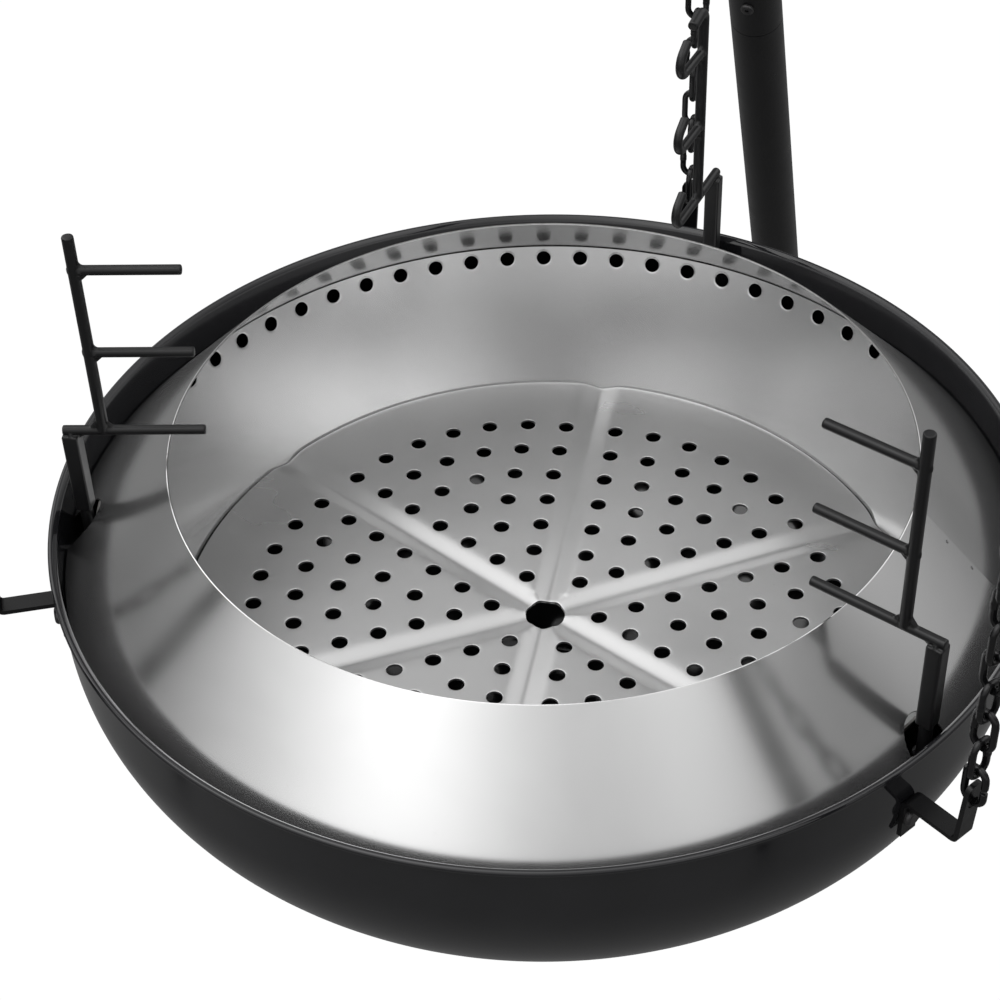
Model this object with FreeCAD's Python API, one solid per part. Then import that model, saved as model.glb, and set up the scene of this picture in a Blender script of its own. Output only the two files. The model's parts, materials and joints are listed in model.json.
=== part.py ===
import FreeCAD, Part
import os, math
from FreeCAD import Vector as V

# Hanging fire bowl on a tube tripod, with clean-burn insert, grate and grid holders.
# Millimetres, +Z up, floor at z = 0. The origin is the middle of the footprint box;
# the bowl axis stands at (0, AXIS_Y).

# ---------------------------------------------------------------- driving sizes
AXIS_Y = -200.0          # bowl and tripod axis
GZ = 504.0               # height of the grate's working plane above the floor
APEX_H = 1867.0          # height where the three leg axes meet
FOOT_R = 800.0           # radius of the foot circle
LEGS = [("rear", 90.0), ("right", -30.0), ("left", 210.0)]
TUBE_R = 20.0            # leg tube, outer radius
TUBE_T = 1.5
SWAGE_R = 18.4           # reduced end that plugs into the next tube
JOINT_1 = 713.0          # joints measured along the leg from the floor
JOINT_2 = 1345.0
LEG_TOP = 1930.0
PLUG = 60.0

RIM_R = 300.0            # outside of the rolled rim
RIM_Z = 102.5            # top of the rim above the grate plane
BEAD_R = 2.0
BOWL_A = 296.5           # outer half-ellipse of the bowl
BOWL_B = 182.6
BOWL_ZC = 66.0
BOWL_T = 2.0
BASE_R = 75.0            # flat base

OPEN_R = 223.2           # opening of the cover ring
OPEN_Z = 145.8
COVER_R = 294.0          # lower edge of the cover ring
COVER_SLOPE = 51.7 / 50.9
COVER_T = 1.2
SEAM_AZ = 0.6
WALL_R0, WALL_Z0 = 233.82, -4.6    # fire wall, inner face at the bottom
WALL_R1, WALL_Z1 = 273.6, 92.0     # and at the top
WALL_T = 1.2
LIP_R = 222.0
AIR_N, AIR_D, AIR_Z, AIR_PH = 66, 9.8, 84.5, 162.86

GRATE_R = 234.0
GRATE_T = 2.0
RIB_AZ = 38.28
RIB_HALF = 11.0
RIB_DEPTH = 3.4
GRATE_DISH = 0.0183
HOLE_D = 10.4
CENTRE_D = 25.4
U = 186.114              # unit of the hole lattice
LATTICE = [(0, .1878), (.0689, .3058), (.1372, .4240), (0, .4606), (.2047, .5427), (.0709, .5918),
           (.2727, .6619), (.1418, .7173), (0, .7354), (.3401, .7808), (.2113, .8404), (.0726, .8706),
           (.4113, .9001), (.2810, .9642), (.1410, 1.0027), (0, 1.0156)]

CHAIN_D = 4.2            # chain wire
CHAIN_P = 21.0           # inner length of a link
CHAIN_W = 8.2            # inner width
CHAIN_GAP = 0.3
CHAIN_N = 18
CHAIN_R = 336.5          # radius of the chains about the axis
BRK_W, BRK_T = 12.0, 3.0
BRK_HOLE = 3.8
HANG_GAP = 1.2         # play between a bracket hole's upper edge and the end link

# name, radius and azimuth of the post, direction of the pegs, twist of the post,
# distance post to upright, heights of the pegs, top of the upright, peg ends, hooked
HOLDERS = [
    ("left", 280.3, 199.6, 17.7, -8.0, 19.7, (157.0, 214.7, 272.3), 295.2, (80.9, 81.1, 80.8), False),
    ("right", 283.6, -24.4, 160.8, 0.0, 20.3, (159.0, 210.5, 268.3), 290.0, (78.5, 80.4, 79.3), False),
    ("rear", 284.7, 84.0, 264.0, 2.0, 31.8, (159.0, 215.5, 270.5), 298.0, (62.8, 62.8, 62.8), True)]
NOTCHES = [(287.0, 199.2, 15.0), (287.0, -24.4, 14.5), (287.0, 84.0, 14.5)]   # cut-outs of the cover ring
POST = 10.0
POST_Z0 = 97.0
SPIGOT_R, SPIGOT_Z0 = 4.0, 58.0
SOCKET_R, SOCKET_BORE, SOCKET_Z0, SOCKET_Z1 = 5.8, 4.1, 50.0, 74.0
SOCKET_FLOOR = 57.6       # top of the socket's closed bottom, just under the spigot's end
PEG_D, UPRIGHT_D = 6.0, 7.0
WELD_R, WELD_L = 4.0, 1.6                            # weld collar where a peg leaves the upright: radius, how far it runs

os.makedirs("parts", exist_ok=True)
T0 = V(0, AXIS_Y, 0)
lean = math.atan2(FOOT_R, APEX_H)
LEG_LEN = math.hypot(FOOT_R, APEX_H)
OUT = {}


def save(name, shape):
    if isinstance(shape, (list, tuple)):
        shape = Part.makeCompound([s for s in shape])
    shape = shape.copy()
    shape.translate(T0)
    for s in shape.Solids:
        if not s.isValid():
            print("INVALID", name)
    print("%-22s solids %3d vol %.1f cm3" % (name, len(shape.Solids), shape.Volume / 1000.0))
    shape.exportStep("parts/%s.step" % name)
    OUT[name] = shape


def turn(shape, az):
    s = shape.copy()
    s.rotate(V(0, 0, 0), V(0, 0, 1), az)
    return s


def cyl(a, b, r):
    d = b - a
    return Part.makeCylinder(r, d.Length, a, d)


def tube(a, b, r, t):
    return cyl(a, b, r).cut(cyl(a, b, r - t))


def revolve(pts, closed=True):
    w = Part.makePolygon([V(x, 0, z) for x, z in pts] + [V(pts[0][0], 0, pts[0][1])])
    return Part.Face(w).revolve(V(0, 0, 0), V(0, 0, 1), 360)


def fuse(shapes):
    s = shapes[0]
    if len(shapes) > 1:
        s = s.multiFuse(shapes[1:])
    s = s.removeSplitter()
    return s.Solids[0] if len(s.Solids) == 1 else s


def hexnut(at, axis, af, h, bore):
    pts = [V(af / math.sqrt(3) * math.cos(math.radians(60 * i)), af / math.sqrt(3) * math.sin(math.radians(60 * i)), 0) for i in range(7)]
    s = Part.Face(Part.makePolygon(pts)).extrude(V(0, 0, h))
    s = s.common(Part.makeSphere(af * 0.66 + h * 0.18, V(0, 0, h / 2)))
    if bore > 0:
        s = s.cut(Part.makeCylinder(bore, h + 2, V(0, 0, -1)))
    s.Placement = FreeCAD.Placement(at, FreeCAD.Rotation(V(0, 0, 1), axis)).multiply(s.Placement)
    return s


# ---------------------------------------------------------------- tripod
UP = V(-math.sin(lean), 0, math.cos(lean))      # along the leg, upwards, in the radial plane
INW = V(-math.cos(lean), 0, -math.sin(lean))    # square to the leg, towards the axis


def leg(s, off=0.0, side=0.0):
    p = V(FOOT_R, 0, 0) + UP * s + INW * off
    return V(p.x, side, p.z)


def screw(s):
    """Button-head screw on the inner side of a leg, through both tube walls."""
    a = leg(s, TUBE_R - TUBE_T - 4.0)
    shank = cyl(a, leg(s, TUBE_R + 0.4), 2.9)
    head = Part.makeCylinder(5.0, 2.6, leg(s, TUBE_R + 0.1), INW)
    head = head.makeFillet(1.6, [e for e in head.Edges if e.Curve.TypeId == "Part::GeomCircle" and (e.CenterOfMass - leg(s, TUBE_R + 2.7)).Length < 0.1])
    rec = hexnut(leg(s, TUBE_R + 1.2), INW, 3.0, 3.0, 0)
    return shank.fuse(head).cut(rec).removeSplitter()


SCREWS = [JOINT_1 + 32.5, JOINT_2 + 32.5, LEG_TOP - 45]
EYE_Z = None


def holes(shape, ss, r=3.1):
    for s in ss:
        shape = shape.cut(cyl(leg(s, 5), leg(s, 30), r))
    return shape


def section(s0, s1, plug):
    outer = cyl(leg(s0), leg(s1), TUBE_R)
    bore = cyl(leg(s0 - 1), leg(s1 + 1), TUBE_R - TUBE_T)
    if plug:
        outer = outer.fuse(cyl(leg(s1 - 0.01), leg(s1 + PLUG), SWAGE_R))
        cone = Part.makeCone(TUBE_R, SWAGE_R, 4.0, leg(s1), UP)
        outer = outer.fuse(cone) if False else outer
        bore = cyl(leg(s0 - 1), leg(s1 - 4), TUBE_R - TUBE_T).fuse(Part.makeCone(TUBE_R - TUBE_T, SWAGE_R - TUBE_T, 4.0, leg(s1 - 4), UP)).fuse(cyl(leg(s1), leg(s1 + PLUG + 1), SWAGE_R - TUBE_T))
    return outer.cut(bore).removeSplitter()


# chain and eye bolt levels (radial plane, heights above the floor)
HOLE_Z = GZ + 100.0                                  # hole in the chain bracket
INT_BOT = HOLE_Z + BRK_HOLE - HANG_GAP               # inside bottom of the last link
SHIFT = CHAIN_P - CHAIN_GAP
INT_TOP = INT_BOT + CHAIN_P + (CHAIN_N - 1) * SHIFT  # inside top of the first link
EYE_WIRE = 3.0
Z_E = INT_TOP - CHAIN_GAP - EYE_WIRE                 # wire centre that carries the first link
EYE_RING = 9.0
E = V(CHAIN_R, 0, Z_E + EYE_RING)                    # middle of the eye
sE = (E - V(FOOT_R, 0, 0)).dot(UP)                   # station of the eye bolt along the leg
offE = (E - V(FOOT_R, 0, 0)).dot(INW)
print("eye station %.1f offset %.1f  Z_E %.2f" % (sE, offE, Z_E))

lower = holes(section(12, JOINT_1 - 0.6, True), SCREWS[:1])
middle = holes(section(JOINT_1, JOINT_2 - 0.6, True), SCREWS[:2]).cut(cyl(leg(sE, -30), leg(sE, 30), 3.2))
upper = holes(section(JOINT_2, LEG_TOP, False), SCREWS[1:])

boot = cyl(leg(-40), leg(42), 22.6).cut(Part.makeBox(400, 400, 200, V(600, -200, -200)))
boot = boot.fuse(Part.makeCylinder(28, 10, V(FOOT_R, 0, 0)))
boot = boot.cut(cyl(leg(12), leg(60), TUBE_R + 0.02)).removeSplitter()
try:
    es = [e for e in boot.Edges if e.Curve.TypeId == "Part::GeomCircle" and abs(e.Curve.Radius - 28) < 0.01 and e.CenterOfMass.z > 5]
    boot = boot.makeFillet(2.5, es)
except Exception as ex:
    print("boot fillet skipped", ex)

eye = Part.makeTorus(EYE_RING, EYE_WIRE, E, V(0, 1, 0))
neck = cyl(E - INW * EYE_RING, leg(sE, -32), 3.0)
collar = Part.makeCylinder(6.5, 2.0, leg(sE, TUBE_R + 2.2), INW * -1)
eyebolt = eye.fuse(neck.cut(Part.makeTorus(EYE_RING, EYE_WIRE, E, V(0, 1, 0)))).fuse(collar).removeSplitter()
eyenut = hexnut(leg(sE, -TUBE_R - 2.0), INW * -1, 10.0, 5.0, 3.0)
saddle = cyl(leg(sE, -TUBE_R - 1.9), leg(sE, -TUBE_R + 3), 8.0).cut(cyl(leg(sE - 30), leg(sE + 30), TUBE_R + 0.02)).cut(cyl(leg(sE, -60), leg(sE, 0), 3.15))

for nm, az in LEGS:
    save("leg_lower_" + nm, turn(lower, az))
    save("leg_middle_" + nm, turn(middle, az))
    save("leg_upper_" + nm, turn(upper, az))
    save("foot_boot_" + nm, turn(boot, az))
    save("chain_eye_" + nm, turn(eyebolt, az))
save("leg_screws", [turn(screw(s), az) for nm, az in LEGS for s in SCREWS])
save("chain_eye_nuts", [turn(x, az) for nm, az in LEGS for x in [eyenut, saddle]])

stub_parts = []
for nm, az in LEGS:
    st = cyl(leg(LEG_TOP - 75), leg(LEG_LEN - 8), SWAGE_R)
    stub_parts.append(turn(st, az))
HUB_Z = APEX_H - 30
hub = Part.makeCylinder(46, 26, V(0, 0, HUB_Z - 26))
cap = Part.makeCone(46, 30, 10, V(0, 0, HUB_Z))
head = hub.fuse([cap] + stub_parts)
head = head.cut(Part.makeBox(400, 400, 100, V(-200, -200, HUB_Z + 10)))
for nm, az in LEGS:
    head = head.cut(turn(cyl(leg(LEG_TOP - 76), leg(LEG_TOP - 6), SWAGE_R - 3.0), az))
    head = head.cut(turn(cyl(leg(SCREWS[2], 5), leg(SCREWS[2], 30), 3.1), az))
head = head.removeSplitter()
save("stand_head", head)

# ---------------------------------------------------------------- chains


def link(gap=False):
    """One link about the origin, standing up in the XZ plane."""
    r = CHAIN_D / 2
    w = (CHAIN_W + CHAIN_D) / 2
    h = (CHAIN_P + CHAIN_D) / 2 - w
    top = Part.Face(Part.Wire([Part.Circle(V(w, 0, h), V(0, 0, 1), r).toShape()])).revolve(V(0, 0, h), V(0, -1, 0), 180)
    bot = Part.Face(Part.Wire([Part.Circle(V(w, 0, -h), V(0, 0, 1), r).toShape()])).revolve(V(0, 0, -h), V(0, 1, 0), 180)
    l = cyl(V(w, 0, -h), V(w, 0, h), r)
    m = cyl(V(-w, 0, -h), V(-w, 0, h), r)
    s = top.multiFuse([bot, l, m]).removeSplitter()
    if gap:
        s = s.cut(Part.makeBox(8, 8, 2.6, V(w - 4, -4, -1.3)))
    return s


L0 = link()
LOPEN = link(True)
CH = []
for i in range(CHAIN_N):
    zc = INT_TOP - CHAIN_P / 2 - i * SHIFT
    s = (LOPEN if i == CHAIN_N - 1 else L0).copy()
    if i % 2 == 0:
        s.rotate(V(0, 0, 0), V(0, 0, 1), 90)
    s.translate(V(CHAIN_R, 0, zc))
    CH.append(s)
for nm, az in LEGS:
    save("chain_first_link_" + nm, turn(CH[0], az))
    save("chain_" + nm, [turn(c, az) for c in CH[1:-1]])
    save("chain_end_link_" + nm, turn(CH[-1], az))
PIV = {"top_x": Z_E, "top_y": INT_TOP - CHAIN_P - CHAIN_D / 2,
       "bot_y": INT_TOP - CHAIN_P - (CHAIN_N - 2) * SHIFT - CHAIN_D / 2, "bot_x": INT_BOT - CHAIN_D / 2}
print("PIVOTS", PIV)

# ---------------------------------------------------------------- chain brackets
BOLT_Z = GZ + 57.0
r0 = BOWL_A + 0.05
prof = [(r0, GZ + 44), (r0 + BRK_T, GZ + 44), (r0 + BRK_T, GZ + 69), (CHAIN_R - 1.2, GZ + 69), (CHAIN_R + 1.6, GZ + 114),
        (CHAIN_R - 1.4, GZ + 114.2), (CHAIN_R - 4.0, GZ + 72), (r0, GZ + 72)]
w = Part.makePolygon([V(x, -BRK_W / 2, z) for x, z in prof + [prof[0]]])
brk = Part.Face(w).extrude(V(0, BRK_W, 0))


def yedge(s, x, z):
    return [e for e in s.Edges if abs(e.CenterOfMass.y) < 0.01 and abs(e.CenterOfMass.x - x) < 0.2 and abs(e.CenterOfMass.z - z) < 0.2]


brk = brk.makeFillet(5.0, yedge(brk, CHAIN_R - 1.2, GZ + 69) + yedge(brk, r0, GZ + 72))
brk = brk.makeFillet(2.0, yedge(brk, CHAIN_R - 4.0, GZ + 72) + yedge(brk, r0 + BRK_T, GZ + 69))
tip = [e for e in brk.Edges if abs(e.CenterOfMass.z - (GZ + 114.1)) < 0.3 and abs(abs(e.CenterOfMass.y) - BRK_W / 2) < 0.01 and e.Length < 4]
brk = brk.makeFillet(4.5, tip)
brk = brk.cut(cyl(V(CHAIN_R - 15, 0, HOLE_Z), V(CHAIN_R + 15, 0, HOLE_Z), BRK_HOLE))
brk = brk.cut(cyl(V(r0 - 2, 0, BOLT_Z), V(r0 + 6, 0, BOLT_Z), 3.2))
bh = Part.makeCylinder(5.6, 3.4, V(r0 + BRK_T + 0.02, 0, BOLT_Z), V(1, 0, 0))
bh = bh.makeFillet(2.2, [e for e in bh.Edges if abs(e.CenterOfMass.x - (r0 + BRK_T + 3.42)) < 0.01])
bolt = bh.fuse(cyl(V(r0 + BRK_T + 0.5, 0, BOLT_Z), V(284.5, 0, BOLT_Z), 3.0)).removeSplitter()
washer = tube(V(292.25, 0, BOLT_Z), V(293.45, 0, BOLT_Z), 6.2, 3.1)
nut = hexnut(V(287.2, 0, BOLT_Z), V(1, 0, 0), 10.0, 5.0, 3.02)
for nm, az in LEGS:
    save("chain_bracket_" + nm, turn(brk, az))
save("bracket_bolts", [turn(bolt, az) for nm, az in LEGS])
save("bracket_nuts", [turn(x, az) for nm, az in LEGS for x in [washer, nut]])

# ---------------------------------------------------------------- bowl


def half_ellipse(a, b, zc, ztop, rbase):
    """Arc from (a-ish, ztop) down to radius rbase, as a curve in the XZ plane."""
    ell = Part.Ellipse(V(a, 0, zc), V(0, 0, zc - b), V(0, 0, zc)) if a >= b else None
    return ell


def bowl_curve(a, b, zc, drop, rb, n=28):
    """Meridian of the bowl: an arc over the first drop of the wall, then a curve down to radius rb."""
    ts = -math.asin(drop / b)
    t1 = -math.acos(rb / a)
    at = lambda t: V(a * math.cos(t), 0, zc + b * math.sin(t))
    pts = [at(ts + (t1 - ts) * i / n) for i in range(n + 1)]
    c = Part.BSplineCurve()
    c.interpolate(Points=pts, InitialTangent=V(a * math.sin(ts), 0, -b * math.cos(ts)), FinalTangent=V(-a * math.sin(-t1), 0, -b * math.cos(t1)))
    return Part.Arc(at(0), at(ts / 2), at(ts)).toShape(), c.toShape(), at(0), pts[-1]


zc = GZ + BOWL_ZC
o_a, o_e, o_top, o_low = bowl_curve(BOWL_A, BOWL_B, zc, 22.0, BASE_R)
i_a, i_e, i_top, i_low = bowl_curve(BOWL_A - BOWL_T, BOWL_B - BOWL_T, zc, 22.0, BASE_R)
zb = GZ + RIM_Z - BEAD_R                      # centre of the rolled bead
xb = RIM_R - BEAD_R
xi = BOWL_A - BOWL_T
# rim: the wall rises, leans out and is rolled outwards and down into a bead
edges = [o_a, o_e]
edges.append(Part.LineSegment(o_low, V(0, 0, o_low.z)).toShape())
edges.append(Part.LineSegment(V(0, 0, o_low.z), V(0, 0, i_low.z)).toShape())
edges.append(Part.LineSegment(V(0, 0, i_low.z), i_low).toShape())
edges += [i_e, i_a]
z_lip = GZ + RIM_Z - 3.0                       # the wall leans out here and rolls over
edges.append(Part.LineSegment(i_top, V(xi, 0, z_lip)).toShape())
ta = math.radians(139)
roll = V(xb + BEAD_R * math.cos(ta), 0, zb + BEAD_R * math.sin(ta))
edges.append(Part.LineSegment(V(xi, 0, z_lip), roll).toShape())
mid = V(xb + BEAD_R * math.cos(math.radians(30)), 0, zb + BEAD_R * math.sin(math.radians(30)))
dxo = BOWL_A - xb
zo = zb - math.sqrt(BEAD_R ** 2 - dxo ** 2)
edges.append(Part.Arc(roll, mid, V(BOWL_A, 0, zo)).toShape())
edges.append(Part.LineSegment(V(BOWL_A, 0, zo), o_top).toShape())
wire = Part.Wire(Part.__sortEdges__(edges))
bowl = Part.Face(wire).revolve(V(0, 0, 0), V(0, 0, 1), 360)
if bowl.ShapeType != "Solid":
    bowl = bowl.Solids[0] if bowl.Solids else Part.Solid(bowl)
for nm, az in LEGS:
    bowl = bowl.cut(turn(cyl(V(289, 0, BOLT_Z), V(303, 0, BOLT_Z), 3.1), az))
bowl = bowl.Solids[0]
save("fire_bowl", bowl)

# ---------------------------------------------------------------- insert
cz = lambda r, off=0.0: GZ + OPEN_Z - (r - OPEN_R) * COVER_SLOPE - off
un = COVER_T * math.hypot(1, COVER_SLOPE)      # sheet thickness measured upright
cover = revolve([(OPEN_R, cz(OPEN_R)), (COVER_R, cz(COVER_R)), (COVER_R - 0.6, cz(COVER_R - 0.6, un)), (OPEN_R, cz(OPEN_R, un))])
lap_pts = [(OPEN_R + 0.3, cz(OPEN_R + 0.3, 0.4)), (COVER_R - 1.2, cz(COVER_R - 1.2, 0.4)), (COVER_R - 0.8, cz(COVER_R - 0.8, -1.1)), (OPEN_R + 0.8, cz(OPEN_R + 0.8, -1.1))]
lap = Part.Face(Part.makePolygon([V(x, 0, z) for x, z in lap_pts + [lap_pts[0]]])).revolve(V(0, 0, 0), V(0, 0, 1), 4.2)
cover = cover.fuse(turn(lap, SEAM_AZ - 2.1)).removeSplitter()
for nr, naz, nrad in NOTCHES:
    cover = cover.cut(turn(Part.makeCylinder(nrad, 60, V(nr, 0, GZ + 50)), naz))
save("cover_ring", cover)

sl = (WALL_R1 - WALL_R0) / (WALL_Z1 - WALL_Z0)
wx = lambda z: WALL_R0 + (z - WALL_Z0) * sl
tt = WALL_T * math.hypot(1, sl)
ztop_in = WALL_Z1
wall = revolve([(wx(WALL_Z0), GZ + WALL_Z0), (wx(WALL_Z1), GZ + WALL_Z1), (wx(WALL_Z1) + tt, cz(wx(WALL_Z1) + tt, un + 0.05)),
                (wx(WALL_Z0 - WALL_T) + tt, GZ + WALL_Z0 - WALL_T), (LIP_R, GZ + WALL_Z0 - WALL_T), (LIP_R, GZ + WALL_Z0)])
ra = wx(AIR_Z)
nrm = V(1, 0, -sl)
cuts = []
for k in range(AIR_N):
    c = Part.makeCylinder(AIR_D / 2, 16, V(ra - 8, 0, GZ + AIR_Z + 8 * sl), nrm)
    cuts.append(turn(c, AIR_PH - k * 360.0 / AIR_N))
wall = wall.cut(Part.makeCompound(cuts))
save("fire_wall", wall.Solids[0] if len(wall.Solids) == 1 else wall)

# grate: six flat sectors joined by six straight V creases
R_BIG = 262.0


def zs(q):
    """Height of a sector's plane at q along its centre line."""
    return GRATE_DISH * (q - 131.0)


pr = []
h6 = math.radians(30)
for k in range(6):
    ca = math.radians(RIB_AZ + 30 + 60 * k)       # sector centre
    ra1, ra2 = ca - h6, ca + h6                   # ribs either side

    def pt(az, along, side, z):
        """along the rib az, side to the left of it."""
        return V(along * math.cos(az) - side * math.sin(az), along * math.sin(az) + side * math.cos(az), GZ + z)

    q0 = RIB_HALF / math.sin(h6)
    al0 = q0 * math.cos(h6)

    def zat(p):
        return zs(p.x * math.cos(ca) + p.y * math.sin(ca))

    P0 = V(q0 * math.cos(ca), q0 * math.sin(ca), 0)
    P0.z = GZ + zat(P0)
    B1 = pt(ra1, R_BIG, RIB_HALF, 0)
    B1.z = GZ + zat(B1)
    B2 = pt(ra2, R_BIG, -RIB_HALF, 0)
    B2.z = GZ + zat(B2)
    tri = Part.Face(Part.makePolygon([P0, B1, B2, P0]))
    pr.append(tri.extrude(V(0, 0, -GRATE_T)))
    slope = (B1.z - P0.z) / (R_BIG - al0)
    for ra_, B in ((ra1, B1), (ra2, B2)):
        A = V(R_BIG * math.cos(ra_), R_BIG * math.sin(ra_), B.z - RIB_DEPTH)
        C = V(0, 0, P0.z - slope * al0 - RIB_DEPTH)
        f = Part.Face(Part.makePolygon([P0, B, A, C, P0]))
        pr.append(f.extrude(V(0, 0, -GRATE_T)))
g = pr[0].multiFuse(pr[1:])
g = g.removeSplitter()
ring = Part.makeCylinder(GRATE_R, 60, V(0, 0, GZ - 30)).cut(Part.makeCylinder(CENTRE_D / 2, 60, V(0, 0, GZ - 30)))
g = g.common(ring)
cuts = []
for s in range(6):
    ca = math.radians(RIB_AZ + 30 + 60 * s)
    for X, Y in LATTICE:
        for m in ((1, -1) if X > 0 else (1,)):
            x, y = m * X * U, Y * U
            cuts.append(Part.makeCylinder(HOLE_D / 2, 30, V(y * math.cos(ca) - x * math.sin(ca), y * math.sin(ca) + x * math.cos(ca), GZ - 15)))
g = g.cut(Part.makeCompound(cuts))
print("grate holes", len(cuts))
zmin = g.BoundBox.ZMin - GZ
print("grate z %.2f .. %.2f" % (zmin, g.BoundBox.ZMax - GZ))
save("grate", g.Solids[0] if len(g.Solids) == 1 else g)

# ---------------------------------------------------------------- grid holders


def bent(pts, r, rad):
    """Round rod along pts (XZ plane) with tangent bends."""
    es = []
    cur = pts[0]
    for i in range(1, len(pts) - 1):
        a, b, c = pts[i - 1], pts[i], pts[i + 1]
        u = (a - b).normalize()
        v = (c - b).normalize()
        ang = math.acos(max(-1, min(1, u.dot(v))))
        t = rad / math.tan(ang / 2)
        p, q = b + u * t, b + v * t
        bis = (u + v).normalize()
        m = b + bis * (rad / math.sin(ang / 2) - rad)
        es.append(Part.LineSegment(cur, p).toShape())
        es.append(Part.Arc(p, m, q).toShape())
        cur = q
    es.append(Part.LineSegment(cur, pts[-1]).toShape())
    w = Part.Wire(es)
    d = (pts[1] - pts[0])
    prof = Part.Wire([Part.Circle(pts[0], d, r).toShape()])
    return w.makePipeShell([prof], True, False)


def jhook(x_out, x_in, z):
    """Peg that runs inwards, turns up and comes back as an open hook."""
    a = math.radians(150)
    rad = 8.5
    f = lambda t: V(x_in + rad * math.sin(t), 0, z + rad - rad * math.cos(t))
    tdir = V(math.cos(a), 0, math.sin(a))
    es = [Part.LineSegment(V(x_out, 0, z), V(x_in, 0, z)).toShape(), Part.Arc(f(0), f(a / 2), f(a)).toShape(),
          Part.LineSegment(f(a), f(a) + tdir * 9.0).toShape()]
    prof = Part.Wire([Part.Circle(V(x_out, 0, z), V(1, 0, 0), PEG_D / 2).toShape()])
    return Part.Wire(es).makePipeShell([prof], True, False)


bowl_inside = OUT["fire_bowl"].copy()
bowl_inside.translate(T0 * -1)
for nm, rp, az, pdir, twist, xu, zp, ztop, xe, hooks in HOLDERS:
    c = V(rp * math.cos(math.radians(az)), rp * math.sin(math.radians(az)), GZ)

    def place(shape):
        s = shape.copy()
        s.rotate(V(0, 0, 0), V(0, 0, 1), pdir)
        s.translate(c)
        return s

    h = POST / 2
    zt = zp[0] - PEG_D / 2
    post = Part.makeBox(POST, POST, zt - POST_Z0, V(-h, -h, POST_Z0))
    post = post.makeChamfer(0.6, [e for e in post.Edges if abs(e.Length - POST) < 0.01 and abs(e.CenterOfMass.z - POST_Z0) < 0.01])
    post = post.fuse(Part.makeCylinder(SPIGOT_R, POST_Z0 + 1 - SPIGOT_Z0, V(0, 0, SPIGOT_Z0))).removeSplitter()
    post.rotate(V(0, 0, 0), V(0, 0, 1), twist)
    xw = xu + UPRIGHT_D / 2 + WELD_L                     # where the weld metal ends and the plain rod begins
    low = cyl(V(-10, 0, zp[0]), V(200, 0, zp[0]), PEG_D / 2)
    save("holder_post_" + nm, place(post))
    # socket for the spigot, with a lug that is welded to the bowl's wall
    sock = Part.makeCylinder(SOCKET_R, SOCKET_Z1 - SOCKET_Z0, V(rp, 0, GZ + SOCKET_Z0))
    lug = Part.makeBox(294.6 - rp, 4.0, 14.0, V(rp, -2.0, GZ + SOCKET_Z0))
    lim = revolve([(200, GZ + 40), (292.2, GZ + 40), (293.0, GZ + 50), (293.6, GZ + 58), (294.3, GZ + 70), (294.3, GZ + 90), (200, GZ + 90)])
    sock = sock.fuse(lug).common(lim).cut(Part.makeCylinder(SOCKET_BORE, 40, V(rp, 0, GZ + SOCKET_FLOOR))).removeSplitter()
    save("post_socket_" + nm, turn(sock, az))
    r, ru = PEG_D / 2, UPRIGHT_D / 2
    if not hooks:
        up = cyl(V(xu, 0, zt + PEG_D - 1.2), V(xu, 0, ztop), ru).cut(low)
        up = up.makeFillet(0.8, [e for e in up.Edges if abs(e.CenterOfMass.z - ztop) < 0.01 and e.Curve.TypeId == "Part::GeomCircle"])
    else:
        up = bent([V(xu, 0, zt + PEG_D - 1.2), V(xu, 0, ztop + 2), V(xu + 20, 0, ztop - 1)], ru, 7.0).cut(low)
    save("holder_upright_" + nm, place(up))
    pegs = []
    for i, z in enumerate(zp):
        xo = -h + 0.2 if i == 0 else xu
        if hooks:
            p = jhook(xo, xe[i], z)
        else:
            p = cyl(V(xo, 0, z), V(xe[i], 0, z), r)
            p = p.makeFillet(0.7, [e for e in p.Edges if e.Curve.TypeId == "Part::GeomCircle"])
        if i:
            p = p.fuse(cyl(V(xo, 0, z), V(xw, 0, z), WELD_R)).removeSplitter()
        if i:
            p = p.cut(cyl(V(xu, 0, 100), V(xu, 0, 400), ru))
            p = max(p.Solids, key=lambda q: q.Volume)
        pegs.append(place(p))
    save("holder_pegs_" + nm, pegs)

bb = Part.makeCompound(list(OUT.values())).BoundBox
print("BOX x %.2f..%.2f y %.2f..%.2f z %.2f..%.2f" % (bb.XMin, bb.XMax, bb.YMin, bb.YMax, bb.ZMin, bb.ZMax))
print("nodes", len(OUT))
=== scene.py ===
import bpy
import bmesh
import json
import math
import numpy as np
from mathutils import Vector, Matrix
from mathutils.geometry import delaunay_2d_cdt


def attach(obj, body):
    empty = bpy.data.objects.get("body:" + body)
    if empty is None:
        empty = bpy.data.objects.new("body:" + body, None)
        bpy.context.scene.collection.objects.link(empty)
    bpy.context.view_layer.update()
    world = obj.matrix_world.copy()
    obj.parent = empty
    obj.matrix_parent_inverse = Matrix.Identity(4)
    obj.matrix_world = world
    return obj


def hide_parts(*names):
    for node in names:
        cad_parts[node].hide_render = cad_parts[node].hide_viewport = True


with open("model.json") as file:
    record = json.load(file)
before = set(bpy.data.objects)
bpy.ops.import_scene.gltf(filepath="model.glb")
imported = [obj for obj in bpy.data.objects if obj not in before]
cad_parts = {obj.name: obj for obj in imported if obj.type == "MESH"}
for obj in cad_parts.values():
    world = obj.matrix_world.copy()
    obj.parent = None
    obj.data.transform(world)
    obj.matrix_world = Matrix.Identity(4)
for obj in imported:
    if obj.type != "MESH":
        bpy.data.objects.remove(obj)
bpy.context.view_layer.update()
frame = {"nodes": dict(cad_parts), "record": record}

NODES = frame["nodes"]
SC = bpy.context.scene
AXIS_Y, GZ = -200.0, 504.0          # bowl axis and grate plane, in mm of the row frame
rad = math.radians

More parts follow.
